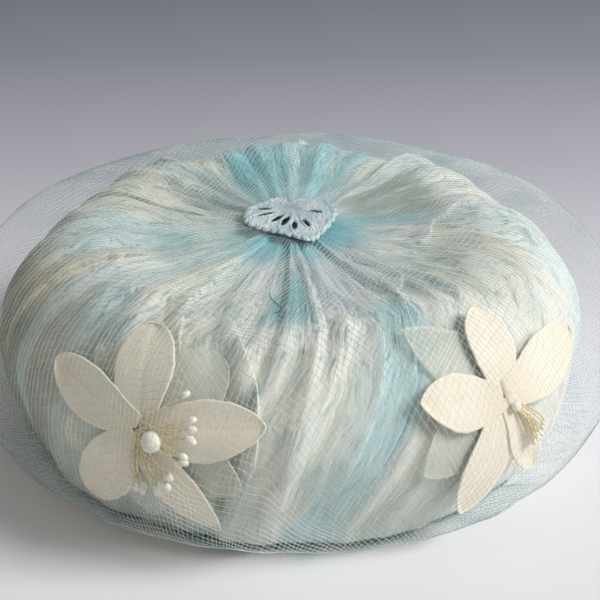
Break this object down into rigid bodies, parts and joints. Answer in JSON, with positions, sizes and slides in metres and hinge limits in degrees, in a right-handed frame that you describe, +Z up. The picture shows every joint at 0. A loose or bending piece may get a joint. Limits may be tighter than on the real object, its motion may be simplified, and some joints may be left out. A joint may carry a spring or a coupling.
{
  "type": "hat",
  "caption": "Soft round pillbox hat: ivory and turquoise cloth gathered over a hollow crown, with cloth flowers and stamens, a lace motif on top and a net veil over all.",
  "frame": {"origin": "centre of the base rim, on the surface that the hat stands on", "axes": "+Z up through the centre of the top; -Y is the front, between the two flowers; +X is the right-hand flower's side"},
  "size_m": [0.2462, 0.2326, 0.0824],
  "materials": {
    "ivory_cloth": "sheer draped cloth, matt",
    "blue_chiffon": "sheer draped cloth, matt",
    "petal_cloth": "stiffened cloth with a soft sheen",
    "organza": "sheer, crisp",
    "gold_thread": "waxed thread with white pips",
    "blue_lace": "cotton lace, matt",
    "blue_net": "fine net thread"
  },
  "bodies": {
    "root": {"crown": "ivory_cloth", "swathe_back": "blue_chiffon", "swathe_back_right": "blue_chiffon", "swathe_right": "blue_chiffon", "swathe_front_right": "blue_chiffon", "swathe_front": "blue_chiffon", "swathe_front_left": "blue_chiffon", "swathe_left": "blue_chiffon", "swathe_back_left": "blue_chiffon", "left_organza_1": "organza", "left_organza_2": "organza", "left_organza_3": "organza", "left_organza_4": "organza", "left_organza_5": "organza", "left_petal_1": "petal_cloth", "left_petal_2": "petal_cloth", "left_petal_3": "petal_cloth", "left_petal_4": "petal_cloth", "left_petal_5": "petal_cloth", "left_stamens": "gold_thread", "right_organza_1": "organza", "right_organza_2": "organza", "right_organza_3": "organza", "right_organza_4": "organza", "right_organza_5": "organza", "right_petal_1": "petal_cloth", "right_petal_2": "petal_cloth", "right_petal_3": "petal_cloth", "right_petal_4": "petal_cloth", "right_petal_5": "petal_cloth", "right_stamens": "gold_thread", "lace_motif": "blue_lace", "veil": "blue_net"}
  },
  "joints": []
}
